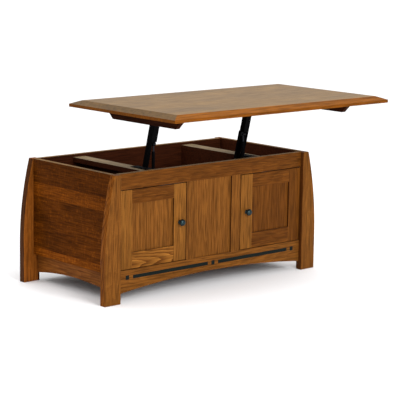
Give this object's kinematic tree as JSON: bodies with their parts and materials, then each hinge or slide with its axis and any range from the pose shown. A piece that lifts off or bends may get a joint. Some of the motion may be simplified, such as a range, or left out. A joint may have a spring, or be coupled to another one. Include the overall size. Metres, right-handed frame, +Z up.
{
  "type": "lift top coffee table",
  "caption": "Oak coffee table in mission style, with curved legs, arched inlaid apron, panelled doors and a bevelled lid that lifts up and forward on parallel steel arms.",
  "frame": {"origin": "on the floor, under the middle of the whole table with its lid raised", "axes": "+X to the table's right along its length, +Y to its back, +Z up; the doors face -Y"},
  "size_m": [1.143, 0.957, 0.7784],
  "materials": {
    "oak_front": "stained quarter-sawn oak, satin",
    "oak_side": "stained quarter-sawn oak, satin",
    "oak_door": "stained oak, satin",
    "oak_inside": "stained oak, thin finish",
    "oak_pale": "planed hardwood, thin finish",
    "oak_top": "stained oak, satin lacquer",
    "inlay_black": "ebonised inlay, satin",
    "black_steel": "black powder coat",
    "nitrided_steel": "ground, then nitrided black",
    "pewter": "dark pewter, cast and polished"
  },
  "bodies": {
    "cabinet": {"front_left_leg": "oak_front", "front_right_leg": "oak_front", "back_left_leg": "oak_front", "back_right_leg": "oak_front", "left_side_panel": "oak_side", "right_side_panel": "oak_side", "left_side_apron": "oak_side", "right_side_apron": "oak_side", "front_top_rail": "oak_front", "front_apron": "oak_front", "inlay_square_left": "inlay_black", "inlay_strip_left": "inlay_black", "inlay_square_centre": "inlay_black", "inlay_strip_right": "inlay_black", "inlay_square_right": "inlay_black", "front_left_stile": "oak_front", "front_right_stile": "oak_front", "centre_panel": "oak_front", "back_panel": "oak_side", "back_apron": "oak_side", "cabinet_floor": "oak_inside", "left_support_rail": "oak_pale", "left_support_web": "oak_inside", "left_base_bracket": "black_steel", "right_support_rail": "oak_pale", "right_support_web": "oak_inside", "right_base_bracket": "black_steel", "left_door_lower_pivot": "nitrided_steel", "left_door_upper_pivot": "nitrided_steel", "left_door_catch": "black_steel", "right_door_lower_pivot": "nitrided_steel", "right_door_upper_pivot": "nitrided_steel", "right_door_catch": "black_steel"},
    "left_door": {"left_door_latch_stile": "oak_door", "left_door_hinge_stile": "oak_door", "left_door_bottom_rail": "oak_door", "left_door_top_rail": "oak_door", "left_door_panel": "oak_door", "left_door_knob": "pewter"},
    "right_door": {"right_door_latch_stile": "oak_door", "right_door_hinge_stile": "oak_door", "right_door_bottom_rail": "oak_door", "right_door_top_rail": "oak_door", "right_door_panel": "oak_door", "right_door_knob": "pewter"},
    "left_main_arm": {"left_main_arm": "black_steel"},
    "right_main_arm": {"right_main_arm": "black_steel"},
    "left_follower_arm": {"left_follower_arm": "black_steel"},
    "right_follower_arm": {"right_follower_arm": "black_steel"},
    "lid": {"lid_top": "oak_top", "left_lid_batten": "oak_inside", "right_lid_batten": "oak_inside", "left_lid_bracket": "black_steel", "right_lid_bracket": "black_steel"},
    "left_strut_tube": {"left_strut_tube": "black_steel"},
    "left_strut_rod": {"left_strut_rod": "nitrided_steel"},
    "right_strut_tube": {"right_strut_tube": "black_steel"},
    "right_strut_rod": {"right_strut_rod": "nitrided_steel"}
  },
  "joints": [
    {"name": "left_door_swing", "type": "hinge", "parent": "cabinet", "child": "left_door", "pos_m": [-0.486, -0.0635, 0.286], "axis": [0, 0, -1], "range_deg": [0, 95]},
    {"name": "right_door_swing", "type": "hinge", "parent": "cabinet", "child": "right_door", "pos_m": [0.486, -0.0635, 0.286], "axis": [0, 0, 1], "range_deg": [0, 95]},
    {"name": "lid_lift", "type": "hinge", "parent": "cabinet", "child": "left_main_arm", "pos_m": [-0.26, 0.0615, 0.44829], "axis": [-1, 0, 0], "range_deg": [0, 95.44]},
    {"name": "right_arm_lift", "type": "hinge", "parent": "cabinet", "child": "right_main_arm", "pos_m": [0.26, 0.0615, 0.44829], "axis": [-1, 0, 0], "range_deg": [0, 95.44]},
    {"name": "left_follower_lift", "type": "hinge", "parent": "cabinet", "child": "left_follower_arm", "pos_m": [-0.2557, 0.087, 0.42029], "axis": [-1, 0, 0], "range_deg": [0, 95.44]},
    {"name": "right_follower_lift", "type": "hinge", "parent": "cabinet", "child": "right_follower_arm", "pos_m": [0.2557, 0.087, 0.42029], "axis": [-1, 0, 0], "range_deg": [0, 95.44]},
    {"name": "lid_level", "type": "hinge", "parent": "left_main_arm", "child": "lid", "pos_m": [-0.26, -0.00918, 0.7347], "axis": [1, 0, 0], "range_deg": [0, 95.44]},
    {"name": "left_strut_swing", "type": "hinge", "parent": "cabinet", "child": "left_strut_tube", "pos_m": [-0.244, 0.0255, 0.43029], "axis": [-1, 0, 0], "range_deg": [0, 77.75]},
    {"name": "right_strut_swing", "type": "hinge", "parent": "cabinet", "child": "right_strut_tube", "pos_m": [0.244, 0.0255, 0.43029], "axis": [-1, 0, 0], "range_deg": [0, 77.75]},
    {"name": "left_strut_slide", "type": "slide", "parent": "left_strut_tube", "child": "left_strut_rod", "axis": [0, 0.0004, 1], "range_m": [0, 0.02504]},
    {"name": "right_strut_slide", "type": "slide", "parent": "right_strut_tube", "child": "right_strut_rod", "axis": [0, 0.0004, 1], "range_m": [0, 0.02504]}
  ],
  "couplings": [
    {"joint": "right_arm_lift", "follows": "lid_lift", "ratio": 1},
    {"joint": "left_follower_lift", "follows": "lid_lift", "ratio": 1},
    {"joint": "right_follower_lift", "follows": "lid_lift", "ratio": 1},
    {"joint": "lid_level", "follows": "lid_lift", "ratio": 1},
    {"joint": "left_strut_swing", "follows": "lid_lift", "ratio": 0.81462},
    {"joint": "right_strut_swing", "follows": "lid_lift", "ratio": 0.81462},
    {"joint": "left_strut_slide", "follows": "lid_lift", "m_per_rad": 0.015029},
    {"joint": "right_strut_slide", "follows": "lid_lift", "m_per_rad": 0.015029}
  ]
}
